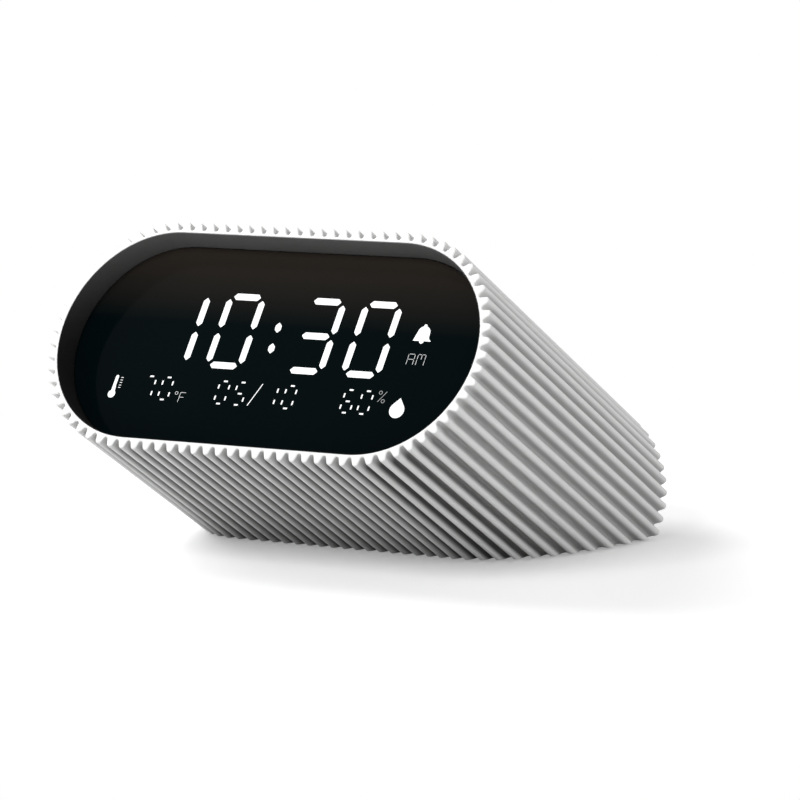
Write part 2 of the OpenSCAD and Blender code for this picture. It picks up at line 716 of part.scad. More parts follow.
// ---- batteries ----

module battery_tray() color("whitesmoke") grounded() difference() {
    union() {
        span([-bay_half - tray_wall, bay_y0 - tray_wall, floor_top + fit],
            [bay_half + tray_wall, bay_y1 + tray_wall, bay_top + tray_wall]);
        mirrored_x() translate([tray_ear_x, tray_ear_y, floor_top + fit])
            cylinder(r = post_r, h = tray_ear_h);
    }
    span([-bay_half, bay_y0, floor_top - reach], [bay_half, bay_y1, bay_top]);
    mirrored_x() translate([tray_ear_x, tray_ear_y, floor_top - reach])
        cylinder(r = pilot_r, h = base_screw_bite + end_gap + reach);
}

// Cell number i, pointing to its contact plate; neighbours lie opposite ways
module cell_place(i) grounded() translate([0, cell_y[i], cell_z]) mirror([i, 0, 0]) children();

module battery_cells() color("slategray") for (i = [0, 1]) cell_place(i) {
    tip = bay_half - contact_t - fit;
    translate([tip - cell_len, 0, 0]) rotate([0, 90, 0]) cylinder(r = cell_r, h = cell_len - cell_tip_len);
    translate([tip - cell_tip_len - lap, 0, 0]) rotate([0, 90, 0])
        cylinder(r = cell_tip_r, h = cell_tip_len + lap);
}

module battery_contacts() color("gold") for (i = [0, 1]) cell_place(i) mirrored_x()
    span([bay_half - contact_t, -contact_half, -contact_half], [bay_half - 0.02, contact_half, contact_half]);

// Conical spring, swept round its axis, from the contact plate to the flat end of the cell
module battery_springs() color("silver") for (i = [0, 1]) cell_place(i) {
    wire_r = 0.3;
    base_coil_r = 3.6;
    tip_coil_r = 2.2;
    turns = 3;
    sides = 6;
    steps = 16 * turns;
    start = -bay_half + contact_t + wire_r;
    length = spring_space - 2 * wire_r - fit;
    points = [for (k = [0:steps], j = [0:sides - 1])
        let (u = k / steps, a = 360 * turns * u, b = 360 * j / sides,
            r = base_coil_r * (1 - u) + tip_coil_r * u + wire_r * cos(b))
        [start + length * u + wire_r * sin(b), r * cos(a), r * sin(a)]];
    walls = [for (k = [0:steps - 1], j = [0:sides - 1])
        let (n = (j + 1) % sides) [k * sides + j, k * sides + n, (k + 1) * sides + n, (k + 1) * sides + j]];
    polyhedron(points, concat(walls, [[for (j = [0:sides - 1]) sides - 1 - j],
        [for (j = [0:sides - 1]) steps * sides + j]]));
}

module battery_door() color("white") intersection() {
    grounded() difference() {
        union() {
            span([slip - bay_half, bay_y0 + slip, foot_proud], [bay_half - slip, big, foot_proud + door_t]);
            span([-bay_half - tongue_w, bay_y0 + slip, foot_proud + (door_t - tongue_t) / 2],
                [bay_half + tongue_w, big, foot_proud + (door_t + tongue_t) / 2]);
        }
        for (i = [1:grips]) let (y = bay_y1 - grip_pitch * i)
            span([-grip_half, y, foot_proud - reach], [grip_half, y + grip_w, foot_proud + grip_depth]);
    }
    tilted() prism(0, tube_len) stadium(tip_r);
}

module ballast_blocks() color("gray") grounded() mirrored_x() difference() {
    span([ballast_x0, ballast_y0, floor_top + fit], [ballast_x1, bay_y1, floor_top + ballast_h]);
    translate([ballast_screw_x, tray_ear_y, floor_top - reach])
        cylinder(r = pilot_r, h = base_screw_bite + end_gap + reach);
}

// ---- screws ----

module bezel_screws() color("silver") tilted() four_corners()
    facing_rear([ear_post_x, bezel_back + ear_post_len + ear_t, ear_post_z])
        screw(ear_t + ear_post_len - end_gap);

module carrier_screws() color("silver") tilted() four_corners()
    facing_rear([carrier_post_x, carrier_back, carrier_post_z])
        screw(carrier_t + carrier_front - bezel_back - end_gap);

module board_screws() color("silver") tilted() four_corners()
    facing_rear([main_post_x, board_back, main_post_z]) screw(board_t + board_standoff - end_gap);

module cover_screws() color("silver") tilted() cover_boss_places()
    facing_rear([0, cover_back - head_h, 0]) screw(cover_t - head_h + cover_screw_bite);

module key_board_screws() color("silver") tilted() key_post_places()
    facing_front([0, key_front, 0]) screw(board_t + key_screw_bite);

module base_screws() color("silver") grounded() base_screw_places() screw(floor_t - head_h + base_screw_bite);

ribbed_shell();
front_bezel();
display_window();
lcd_panel();
light_guide();
reflector_sheet();
backlight_strip();
lcd_carrier();
display_flex();
main_board();
main_board_parts();
ribbon_cable();
battery_lead();
speaker_lead();
rear_cover();
key_board();
switch_bodies();
slide_switch_body();
button(0);  // alarm_button
button(1);  // set_button
button(2);  // snooze_button
button(3);  // down_button
button(4);  // up_button
plunger(0);  // alarm_plunger
plunger(1);  // set_plunger
plunger(2);  // snooze_plunger
plunger(3);  // down_plunger
plunger(4);  // up_plunger
alarm_switch();
usb_shell();
usb_tongue();
speaker_frame();
speaker_cone();
speaker_magnet();
climate_sensor();
battery_tray();
battery_cells();
battery_contacts();
battery_springs();
battery_door();
ballast_blocks();
rubber_feet();
bezel_screws();
carrier_screws();
board_screws();
cover_screws();
key_board_screws();
base_screws();
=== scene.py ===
"""Looks of a ribbed desk alarm clock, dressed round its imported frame.

Lengths are in metres. The case frame has X to the right, Y along the tube from the front face and
Z up the face; CASE turns it into the row frame, in which the clock stands on Z = 0.
"""
import json
import math

import bmesh
import bpy
from mathutils import Matrix, Quaternion, Vector


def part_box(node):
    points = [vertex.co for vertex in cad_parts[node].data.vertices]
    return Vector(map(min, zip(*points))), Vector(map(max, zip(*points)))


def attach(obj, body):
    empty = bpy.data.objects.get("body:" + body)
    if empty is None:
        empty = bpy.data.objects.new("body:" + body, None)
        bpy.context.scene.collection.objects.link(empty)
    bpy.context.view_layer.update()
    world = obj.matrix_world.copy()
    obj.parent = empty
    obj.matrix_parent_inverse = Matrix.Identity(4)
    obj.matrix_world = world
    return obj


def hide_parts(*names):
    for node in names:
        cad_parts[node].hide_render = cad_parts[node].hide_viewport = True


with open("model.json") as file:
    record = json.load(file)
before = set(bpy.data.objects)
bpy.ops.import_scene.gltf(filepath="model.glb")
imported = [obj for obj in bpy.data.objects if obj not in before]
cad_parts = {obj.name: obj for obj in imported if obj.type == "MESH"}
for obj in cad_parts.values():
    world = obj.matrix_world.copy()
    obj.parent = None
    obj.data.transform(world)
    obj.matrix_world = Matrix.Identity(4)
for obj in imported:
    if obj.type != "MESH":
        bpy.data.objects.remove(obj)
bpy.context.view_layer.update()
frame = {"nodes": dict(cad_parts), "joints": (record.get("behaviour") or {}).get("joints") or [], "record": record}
MM = 0.001

# ---- sizes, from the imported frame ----

BODY_OF = {n: b for b, ns in frame["record"]["behaviour"]["bodies"].items() for n in ns}
SLOT_OF = {p["node"]: p["material_slot"] for p in frame["record"]["subparts"]}


def box_in(matrix, node):
    """Lowest and highest corner of a CAD node in the frame that matrix gives."""
    back = matrix.inverted()
    points = [back @ v.co for v in frame["nodes"][node].data.vertices]
    return tuple(Vector(pick(p[i] for p in points) for i in range(3)) for pick in (min, max))


press_axis = next(j for j in frame["joints"] if j["name"] == "snooze_press")["axis"]
TILT = math.atan2(press_axis[2], -press_axis[1])
LEAN = Matrix.Rotation(-TILT, 4, "X")
tube_low = box_in(LEAN, "ribbed_shell")[0]
face_low, face_high = box_in(LEAN, "display_window")
CASE = LEAN @ Matrix.Translation((0, tube_low.y, (face_low.z + face_high.z) / 2))
GROUND = Matrix.Identity(4)     # the row frame itself
WELD = 0.001 * MM               # distance at which vertices of a mesh become one
FLAT = math.radians(0.5)        # angle up to which faces count as one flat face
SHARP = 38                      # degrees from which an edge is shaded sharp
ROUNDED_FROM = 30               # and from which an edge of a plain piece is rounded

FIT = 0.1 * MM                 # between pieces that nest
SLIP = 0.25 * MM               # between a moving piece and what guides it
RIBS = 88
RIB_DEPTH = 2.45 * MM
TIP_ROUND = 0.95 * MM
GROOVE_ROUND = 0.63 * MM

window_low, window_high = box_in(CASE, "display_window")
bezel_low, bezel_high = box_in(CASE, "front_bezel")
shell_high = box_in(CASE, "ribbed_shell")[1]
cover_high = box_in(CASE, "rear_cover")[1]
WINDOW_R = window_high.z
HALF_STRAIGHT = window_high.x - WINDOW_R
OPENING_R = bezel_high.z + FIT
INNER_R = cover_high.x - HALF_STRAIGHT + FIT
TIP_R = shell_high.x - HALF_STRAIGHT
VALLEY_R = TIP_R - RIB_DEPTH
LINE_R = VALLEY_R + RIB_DEPTH / 4   # radius at which the ribs' pitch is measured
PITCH = (4 * HALF_STRAIGHT + 2 * math.pi * LINE_R) / RIBS
TUBE_LEN = shell_high.y
FLANGE_T = 1.5 * MM                 # of the bezel's flange behind the window
BEZEL_BACK = window_high.y + FLANGE_T
FLOOR_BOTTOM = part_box("ribbed_shell")[0].z
FLOOR_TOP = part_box("battery_tray")[0].z - FIT


# ---- mesh helpers ----

def stadium_point(s, r):
    """Point [x, z] of a stadium outline of radius r, at distance s along the ribs' pitch line."""
    arc = math.pi * LINE_R
    s %= RIBS * PITCH
    if s <= HALF_STRAIGHT:
        return s, -r
    if s <= HALF_STRAIGHT + arc:
        a = (s - HALF_STRAIGHT) / LINE_R - math.pi / 2
        return HALF_STRAIGHT + r * math.cos(a), r * math.sin(a)
    if s <= 3 * HALF_STRAIGHT + arc:
        return 2 * HALF_STRAIGHT + arc - s, r
    if s <= 3 * HALF_STRAIGHT + 2 * arc:
        a = (s - 3 * HALF_STRAIGHT - arc) / LINE_R + math.pi / 2
        return -HALF_STRAIGHT + r * math.cos(a), r * math.sin(a)
    return s - RIBS * PITCH, -r


def arc_points(cx, cz, r, start, end, steps):
    """Points [x, z] of an arc between two angles in degrees."""
    angles = [math.radians(start + (end - start) * i / steps) for i in range(steps + 1)]
    return [(cx + r * math.cos(a), cz + r * math.sin(a)) for a in angles]


def stadium(r):
    """Stadium outline of the case's section, of radius r at its round ends."""
    return arc_points(HALF_STRAIGHT, 0, r, -90, 90, 48) + arc_points(-HALF_STRAIGHT, 0, r, 90, 270, 48)


def inset(points, distance):
    """The outline moved inwards by that distance, point by point."""
    moved = []
    for i, (x, z) in enumerate(points):
        (ax, az), (bx, bz) = points[i - 1], points[(i + 1) % len(points)]
        nx, nz = bz - az, ax - bx
        n = math.hypot(nx, nz)
        moved.append((x - nx / n * distance, z - nz / n * distance))
    return moved


def finished(name, bm, matrix=CASE, sharp=SHARP):
    """The bmesh as an object in the row frame, shaded smooth between sharp edges."""
    bmesh.ops.transform(bm, matrix=matrix, verts=bm.verts)
    bmesh.ops.recalc_face_normals(bm, faces=bm.faces)
    for face in bm.faces:
        face.smooth = True
    for edge in bm.edges:
        edge.smooth = len(edge.link_faces) == 2 and edge.calc_face_angle() < math.radians(sharp)
    mesh = bpy.data.meshes.new(name)
    bm.to_mesh(mesh)
    bm.free()
    obj = bpy.data.objects.new(name, mesh)
    bpy.context.scene.collection.objects.link(obj)
    return obj


def loft(rings):
    """Closed solid through rings of equally many points, with flat ends."""
    bm = bmesh.new()
    rows = [[bm.verts.new(p) for p in ring] for ring in rings]
    count = len(rows[0])
    for low, high in zip(rows, rows[1:]):
        for i in range(count):
            j = (i + 1) % count
            bm.faces.new((low[i], low[j], high[j], high[i]))
    bm.faces.new(rows[0][::-1])
    bm.faces.new(rows[-1])
    return bm


def rounding(radius):
    """Quarter round at an end, as [distance from the end, distance inwards], from the end on."""
    angles = map(math.radians, (0, 30, 60, 90))
    return [(radius * (1 - math.cos(a)), radius * (1 - math.sin(a))) for a in angles]


def prism(outline, y_from, y_to, front_round=0.0, back_round=0.0):
    """Solid of that outline along the tube, its end edges rounded off."""
    front = [(y_from + y, d) for y, d in rounding(front_round)] if front_round else [(y_from, 0)]
    back = [(y_to - y, d) for y, d in rounding(back_round)] if back_round else [(y_to, 0)]
    return stepped(outline, front + back[::-1])


def stepped(outline, stages):
    """Solid through the outline, moved inwards by the second value of each stage at its depth."""
    return loft([[(x, y, z) for x, z in (inset(outline, d) if d else outline)] for y, d in stages])


def box_mesh(low, high):
    """Plain box, used to cut with."""
    outline = [(low[0], low[2]), (high[0], low[2]), (high[0], high[2]), (low[0], high[2])]
    return prism(outline, low[1], high[1])


def boolean(obj, cutter, operation="DIFFERENCE"):
    """Cuts obj with cutter, which goes away."""
    modifier = obj.modifiers.new("cut", "BOOLEAN")
    modifier.operation, modifier.solver, modifier.object = operation, "MANIFOLD", cutter
    bpy.context.view_layer.update()
    result = bpy.data.meshes.new_from_object(obj.evaluated_get(bpy.context.evaluated_depsgraph_get()))
    obj.modifiers.clear()
    obj.data = result
    bpy.data.objects.remove(cutter)
    return obj


def reshaded(obj):
    """Cleans a cut mesh and shades it again, its flat faces staying flat."""
    bm = bmesh.new()
    bm.from_mesh(obj.data)
    bmesh.ops.remove_doubles(bm, verts=bm.verts, dist=WELD)
    bmesh.ops.dissolve_degenerate(bm, edges=bm.edges, dist=WELD)
    bmesh.ops.dissolve_limit(bm, angle_limit=FLAT, verts=bm.verts, edges=bm.edges)
    bmesh.ops.triangulate(bm, faces=[f for f in bm.faces if len(f.verts) > 4])
    name = obj.name
    bpy.data.objects.remove(obj)
    return weighted(finished(name, bm, GROUND))


def weighted(obj):
    """Gives a mesh normals that lean to its larger faces, as a moulded edge shades."""
    modifier = obj.modifiers.new("shade", "WEIGHTED_NORMAL")
    modifier.weight, modifier.keep_sharp = 90, True
    bpy.context.view_layer.update()
    result = bpy.data.meshes.new_from_object(obj.evaluated_get(bpy.context.evaluated_depsgraph_get()))
    obj.modifiers.clear()
    obj.data = result
    return obj


def copied(node):
    """The welded mesh of a CAD node."""
    bm = bmesh.new()
    bm.from_mesh(frame["nodes"][node].data)
    bmesh.ops.remove_doubles(bm, verts=bm.verts, dist=WELD)
    return bm


def solids(node):
    """Boxes of the separate solids of a CAD node."""
    bm = copied(node)
    boxes, left = [], set(bm.verts)
    while left:
        todo, part = [left.pop()], []
        while todo:
            vert = todo.pop()
            part.append(vert.co.copy())
            for edge in vert.link_edges:
                other = edge.other_vert(vert)
                if other in left:
                    left.remove(other)
                    todo.append(other)
        boxes.append(tuple(Vector(pick(p[i] for p in part) for i in range(3)) for pick in (min, max)))
    bm.free()
    return sorted(boxes, key=lambda b: tuple(b[0]))


def softened(node, radius):
    """A copy of a CAD node with its sharp edges rounded."""
    bm = copied(node)
    bmesh.ops.dissolve_limit(bm, angle_limit=FLAT, verts=bm.verts, edges=bm.edges)
    edges = [e for e in bm.edges
             if len(e.link_faces) == 2 and e.calc_face_angle() > math.radians(ROUNDED_FROM)]
    bmesh.ops.bevel(bm, geom=edges, offset=radius, offset_type="OFFSET", segments=2,
                    profile=0.5, affect="EDGES", clamp_overlap=True)
    bmesh.ops.triangulate(bm, faces=[f for f in bm.faces if len(f.verts) > 4])
    piece = weighted(finished(node + "_piece", bm, GROUND, sharp=50))
    return standing_for(piece, node)


def standing_for(piece, node):
    """Rides the piece on the node's body and hides the node."""
    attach(piece, BODY_OF[node])
    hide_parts(node)
    return piece


# ---- materials ----

def new_material(name):
    """A material, its node tree, its shader and the piece's own coordinates."""
    material = bpy.data.materials.new(name)
    material.use_nodes = True
    tree = material.node_tree
    place = tree.nodes.new("ShaderNodeTexCoord").outputs["Object"]
    return material, tree, tree.nodes["Principled BSDF"], place


def noise(tree, vector, size, detail=2.0, stretch=None):
    """Noise with features of that size, drawn out along an axis where stretch says so."""
    if stretch:
        mapping = tree.nodes.new("ShaderNodeMapping")
        mapping.inputs["Scale"].default_value = stretch
        tree.links.new(vector, mapping.inputs["Vector"])
        vector = mapping.outputs["Vector"]
    node = tree.nodes.new("ShaderNodeTexNoise")
    node.inputs["Scale"].default_value = 1 / size
    node.inputs["Detail"].default_value = detail
    tree.links.new(vector, node.inputs["Vector"])
    return node.outputs["Fac"]


def ranged(tree, value, low, high, at_low=0.3, at_high=0.7):
    """The value spread from low to high."""
    node = tree.nodes.new("ShaderNodeMapRange")
    for key, number in zip(("From Min", "From Max", "To Min", "To Max"), (at_low, at_high, low, high)):
        node.inputs[key].default_value = number
    tree.links.new(value, node.inputs["Value"])
    return node.outputs["Result"]


def mixed(tree, share, first, second):
    """A colour between two colours, each given as numbers or as a socket."""
    node = tree.nodes.new("ShaderNodeMix")
    node.data_type = "RGBA"
    tree.links.new(share, node.inputs["Factor"])
    for socket, colour in zip((node.inputs[6], node.inputs[7]), (first, second)):
        if isinstance(colour, bpy.types.NodeSocket):
            tree.links.new(colour, socket)
        else:
            socket.default_value = (*colour, 1)
    return node.outputs[2]


def calculated(tree, operation, first, second):
    """Result of a sum on a varying value and another value, or a number."""
    node = tree.nodes.new("ShaderNodeMath")
    node.operation = operation
    tree.links.new(first, node.inputs[0])
    if isinstance(second, bpy.types.NodeSocket):
        tree.links.new(second, node.inputs[1])
    else:
        node.inputs[1].default_value = second
    return node.outputs[0]


def height_of(tree, vector):
    """The Z value of a vector."""
    apart = tree.nodes.new("ShaderNodeSeparateXYZ")
    tree.links.new(vector, apart.inputs["Vector"])
    return apart.outputs["Z"]


def case_place(tree, place, axis):
    """The place along one axis of the case, from the middle of the front face."""
    way = (CASE.to_3x3() @ Vector(axis)).normalized()
    node = tree.nodes.new("ShaderNodeVectorMath")
    node.operation = "DOT_PRODUCT"
    node.inputs[1].default_value = way
    tree.links.new(place, node.inputs[0])
    return calculated(tree, "SUBTRACT", node.outputs["Value"], way @ CASE.translation)


def shade(colour, factor):
    """The colour made brighter or darker."""
    return tuple(min(1.0, c * factor) for c in colour)


def bump(tree, shader, height, depth, strength=1.0):
    """Raises the shader's surface by the height, over at most that depth."""
    node = tree.nodes.new("ShaderNodeBump")
    node.inputs["Distance"].default_value = depth
    node.inputs["Strength"].default_value = strength
    tree.links.new(height, node.inputs["Height"])
    tree.links.new(node.outputs["Normal"], shader.inputs["Normal"])


def moulded(name, colour, roughness, grain=0.25 * MM, depth=0.004 * MM):
    """Moulded plastic or rubber: fine grain, cloudy colour, and edges that rub a little paler."""
    material, tree, shader, place = new_material(name)
    cloudy = mixed(tree, noise(tree, place, 9 * MM, 3), shade(colour, 0.97), shade(colour, 1.03))
    pointed = tree.nodes.new("ShaderNodeNewGeometry").outputs["Pointiness"]
    rubbed = ranged(tree, pointed, 0.0, 1.0, 0.52, 0.6)
    worn = mixed(tree, rubbed, cloudy, shade(colour, 1.09))
    tree.links.new(worn, shader.inputs["Base Color"])
    tree.links.new(ranged(tree, noise(tree, place, 3 * MM, 4), roughness - 0.06, roughness + 0.06),
                   shader.inputs["Roughness"])
    bump(tree, shader, noise(tree, place, grain, 2), depth)
    return material


def metal(name, colour, roughness, stretch=(1, 1, 12), grain=0.3 * MM, depth=0.003 * MM):
    """Metal with drawn or turned marks along one axis."""
    material, tree, shader, place = new_material(name)
    marks = noise(tree, place, grain, 3, stretch)
    tree.links.new(mixed(tree, marks, shade(colour, 0.88), shade(colour, 1.08)), shader.inputs["Base Color"])
    tree.links.new(ranged(tree, marks, roughness - 0.08, roughness + 0.1), shader.inputs["Roughness"])
    shader.inputs["Metallic"].default_value = 1.0
    bump(tree, shader, marks, depth)
    return material


def shell_plastic():
    """Matte white plastic with painted shade in the grooves, deepest below and least of all at the front."""
    material, tree, shader, place = new_material("white_shell")
    # painted shade: the grooves' colour turns dark grey towards their bottoms, most on the underside, least near
    # the front face
    white, groove_shade_colour = (0.86, 0.86, 0.855), (0.13, 0.13, 0.129)
    height = tree.nodes.new("ShaderNodeAttribute")
    height.attribute_name = "rib_height"
    low = ranged(tree, height.outputs["Fac"], 1.0, 0.0, 0.45, 1.0)
    behind = ranged(tree, case_place(tree, place, (0, 1, 0)), 0.25, 1.0, 0.5 * MM, 5 * MM)
    below = ranged(tree, case_place(tree, place, (0, 0, 1)), 1.0, 0.5, -0.97 * VALLEY_R, -0.6 * VALLEY_R)
    painted_shade = calculated(tree, "MULTIPLY", calculated(tree, "MULTIPLY", low, behind), below)
    cloudy = mixed(tree, noise(tree, place, 14 * MM, 3), shade(white, 0.985), shade(white, 1.015))
    tree.links.new(mixed(tree, painted_shade, cloudy, groove_shade_colour), shader.inputs["Base Color"])
    tree.links.new(ranged(tree, noise(tree, place, 2.5 * MM, 4), 0.5, 0.62), shader.inputs["Roughness"])
    shader.inputs["Specular IOR Level"].default_value = 0.2
    bump(tree, shader, noise(tree, place, 0.22 * MM, 2), 0.002 * MM)
    return material


def liner_black():
    """Black liner, with painted light greying it towards its upper wall."""
    material, tree, shader, place = new_material("black_bezel")
    low, high = ((CASE @ Vector((0, 0, z))).z for z in (-0.5 * WINDOW_R, WINDOW_R))
    # painted light: the colour turns from near black to grey towards the top of the wall
    rise = calculated(tree, "POWER", ranged(tree, height_of(tree, place), 0.0, 1.0, low, high), 2.4)
    cloudy = noise(tree, place, 9 * MM, 3)
    lower = mixed(tree, cloudy, (0.0095, 0.0095, 0.0095), (0.0105, 0.0105, 0.0105))
    upper = mixed(tree, cloudy, (0.155, 0.155, 0.153), (0.165, 0.165, 0.163))
    tree.links.new(mixed(tree, rise, lower, upper), shader.inputs["Base Color"])
    tree.links.new(ranged(tree, noise(tree, place, 3 * MM, 4), 0.5, 0.6), shader.inputs["Roughness"])
    shader.inputs["Specular IOR Level"].default_value = 0.08
    bump(tree, shader, noise(tree, place, 0.25 * MM, 2), 0.004 * MM)
    return material


def window_black():
    """Smoked window over the dark display, blue-black, with a painted brown reflection towards the top."""
    material, tree, shader, place = new_material("window_black")
    blue = mixed(tree, noise(tree, place, 22 * MM, 4), (0.0010, 0.0032, 0.0038), (0.0013, 0.0040, 0.0047))
    low, high = ((CASE @ Vector((0, window_low.y, z))).z for z in (0.25 * WINDOW_R, WINDOW_R))
    rise = ranged(tree, height_of(tree, place), 0.0, 1.0, low, high)
    # painted reflection: the colour turns brown towards the window's top
    tree.links.new(mixed(tree, rise, blue, (0.026, 0.021, 0.017)), shader.inputs["Base Color"])
    tree.links.new(ranged(tree, noise(tree, place, 7 * MM, 5), 0.04, 0.07), shader.inputs["Roughness"])
    shader.inputs["Specular IOR Level"].default_value = 0.015
    bump(tree, shader, noise(tree, place, 30 * MM, 1), 0.01 * MM, 0.2)
    return material


def lit(name, strength, base):
    """Lit marks of the display, a touch uneven from mark to mark."""
    material, tree, shader, place = new_material(name)
    glow = mixed(tree, noise(tree, place, 4 * MM, 1), (0.97, 0.985, 1.0), (1.0, 1.0, 1.0))
    tree.links.new(glow, shader.inputs["Emission Color"])
    shader.inputs["Base Color"].default_value = (base, base, base, 1)
    shader.inputs["Emission Strength"].default_value = strength
    shader.inputs["Specular IOR Level"].default_value = 0.1
    return material


def printed_board(name):
    """Circuit board lacquer with its copper showing through as a faint grid of tracks."""
    material, tree, shader, place = new_material(name)
    tracks = tree.nodes.new("ShaderNodeTexBrick")
    tracks.inputs["Scale"].default_value = 1 / (3 * MM)
    tracks.inputs["Mortar Size"].default_value = 0.09
    tracks.inputs["Color1"].default_value = (0.010, 0.075, 0.030, 1)
    tracks.inputs["Color2"].default_value = (0.014, 0.090, 0.036, 1)
    tracks.inputs["Mortar"].default_value = (0.030, 0.160, 0.060, 1)
    tree.links.new(place, tracks.inputs["Vector"])
    tree.links.new(tracks.outputs["Color"], shader.inputs["Base Color"])
    tree.links.new(ranged(tree, noise(tree, place, 2 * MM), 0.3, 0.45), shader.inputs["Roughness"])
    bump(tree, shader, tracks.outputs["Fac"], 0.02 * MM, 0.6)
    return material


MATERIALS = {
    "white_shell": shell_plastic(),
    "black_bezel": liner_black(),
    "window_black": window_black(),
    "display_glass": moulded("display_glass", (0.05, 0.06, 0.065), 0.12, 1 * MM, 0.001 * MM),
    "clear_acrylic": moulded("clear_acrylic", (0.85, 0.87, 0.88), 0.15, 1 * MM, 0.001 * MM),
    "film_white": moulded("film_white", (0.85, 0.85, 0.85), 0.5),
    "lamp_strip": moulded("lamp_strip", (0.75, 0.70, 0.40), 0.35),
    "inner_white_plastic": moulded("inner_white_plastic", (0.75, 0.75, 0.74), 0.55),
    "flex_amber": moulded("flex_amber", (0.45, 0.22, 0.05), 0.3, 0.6 * MM),
    "board_green": printed_board("board_green"),
    "chip_black": moulded("chip_black", (0.030, 0.030, 0.032), 0.55),
    "cable_grey": moulded("cable_grey", (0.45, 0.45, 0.46), 0.5, 0.9 * MM, 0.03 * MM),
    "wire_red": moulded("wire_red", (0.45, 0.03, 0.02), 0.4),
    "wire_black": moulded("wire_black", (0.02, 0.02, 0.02), 0.4),
    "cover_white": moulded("cover_white", (0.78, 0.78, 0.775), 0.55, 0.3 * MM, 0.008 * MM),
    "button_grey": moulded("button_grey", (0.50, 0.50, 0.50), 0.42, 0.3 * MM, 0.003 * MM),
    "plunger_black": moulded("plunger_black", (0.03, 0.03, 0.03), 0.4),
    "bright_steel": metal("bright_steel", (0.62, 0.62, 0.63), 0.25, (12, 1, 1)),
    "screw_steel": metal("screw_steel", (0.50, 0.50, 0.51), 0.3, (1, 1, 1), 0.12 * MM),
    "socket_black": moulded("socket_black", (0.02, 0.02, 0.02), 0.5),
    "cone_black": moulded("cone_black", (0.03, 0.03, 0.03), 0.8, 0.4 * MM, 0.02 * MM),
    "magnet_grey": metal("magnet_grey", (0.25, 0.25, 0.26), 0.4, (1, 1, 1)),
    "cell_wrap": metal("cell_wrap", (0.12, 0.13, 0.15), 0.3, (10, 1, 1)),
    "contact_brass": metal("contact_brass", (0.75, 0.60, 0.30), 0.3, (1, 1, 1)),
    "ballast_steel": metal("ballast_steel", (0.20, 0.20, 0.20), 0.55, (1, 1, 1), 0.8 * MM, 0.02 * MM),
    "foot_rubber": moulded("foot_rubber", (0.045, 0.045, 0.045), 0.85, 0.25 * MM, 0.02 * MM),
    "lit_white": lit("lit_white", 0.95, 0.3),
    "lit_soft": lit("lit_soft", 0.75, 0.1),
    "lit_faint": lit("lit_faint", 0.45, 0.05),
    "mark_grey": moulded("mark_grey", (0.16, 0.16, 0.165), 0.5),
}


def paint(obj, material):
    """Gives the object one material all over."""
    obj.data.materials.clear()
    obj.data.materials.append(MATERIALS[material])
    for polygon in obj.data.polygons:
        polygon.material_index = 0
    return obj


for node, obj in frame["nodes"].items():
    paint(obj, SLOT_OF[node])

# ---- case ----

EDGE = 0.16 * MM        # rounding of the case's edges
RIB_END = 0.4 * MM      # rounding of the ribs' front ends
REACH = 2 * MM          # by which cutting shapes run past a face
WIDE = 0.3              # larger than the whole clock
INSIDE = -0.02          # height in ribs below which a face belongs to the hollow
TONGUE_W = 1.2 * MM     # of the battery door's side tongues
TONGUE_T = 0.8 * MM
TONGUE_GAP = 0.2 * MM
HEAD_H = 1.2 * MM       # of the floor screws' heads
SHANK_R = 1.3 * MM      # of the holes for their shanks


def rib_profile():
    """One rib with half a groove on its left: [distance from its centre, height above the grooves]."""
    groove = [(GROOVE_ROUND * math.sin(a) - PITCH / 2, GROOVE_ROUND * (1 - math.cos(a)))
              for a in map(math.radians, (0, 25, 50, 75))]
    tip = [(TIP_ROUND * math.sin(a), RIB_DEPTH - TIP_ROUND * (1 - math.cos(a)))
           for a in map(math.radians, range(-75, 76, 15))]
    return groove + tip + [(-x, h) for x, h in groove[:0:-1]]


def ribbed_outline():
    """The section's outline with all its ribs."""
    return [stadium_point(k * PITCH + x, VALLEY_R + h) for k in range(RIBS) for x, h in rib_profile()]


def flared(radius, y_from, y_to, at_front, at_back):
    """Cutter for a bore whose mouth, at the front, the back or both, leaves a rounded edge."""
    def mouth(y, way):
        return [(y - way * REACH, -EDGE)] + [(y + way * along, -d) for along, d in rounding(EDGE)]
    front = mouth(y_from, 1) if at_front else [(y_from, 0)]
    back = mouth(y_to, -1)[::-1] if at_back else [(y_to, 0)]
    return stepped(stadium(radius), front + back)


def upright(outline, z_from, z_to):
    """Solid of an outline [x, y] seen from above."""
    return loft([[(x, y, z) for x, y in outline] for z in (z_from, z_to)])


def disc(cx, cy, r):
    """Outline of a disc."""
    return arc_points(cx, cy, r, 0, 352.5, 47)


def bay_cutter():
    """The opening in the floor for the batteries, with the side slots that guide the door."""
    low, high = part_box("battery_door")
    front = low.y - SLIP
    across, wide = high.x - TONGUE_W, high.x + TONGUE_GAP + SLIP
    middle, slot_half = (low.z + high.z) / 2, TONGUE_T / 2 + TONGUE_GAP
    opening = box_mesh((-across, front, FLOOR_BOTTOM - REACH), (across, WIDE, FLOOR_TOP + REACH))
    slots = box_mesh((-wide, front, middle - slot_half), (wide, WIDE, middle + slot_half))
    return boolean(finished("bay", opening, GROUND), finished("slots", slots, GROUND), "UNION")


def foot_cutters():
    """Recesses in the floor that hold the feet."""
    for low, high in solids("rubber_feet"):
        middle, r = (low + high) / 2, (high.x - low.x) / 2 + FIT
        yield finished("foot", upright(disc(middle.x, middle.y, r), FLOOR_BOTTOM - REACH, high.z), GROUND)


def screw_cutters():
    """Counterbores and through holes for the screws in the floor."""
    for low, high in solids("base_screws"):
        middle, r = (low + high) / 2, (high.x - low.x) / 2 + FIT
        seat = low.z + HEAD_H
        stages = [(FLOOR_BOTTOM - REACH, r), (seat, r), (seat, SHANK_R), (FLOOR_TOP + REACH, SHANK_R)]
        rings = [[(x, y, z) for x, y in disc(middle.x, middle.y, radius)] for z, radius in stages]
        yield finished("screw", loft(rings), GROUND)


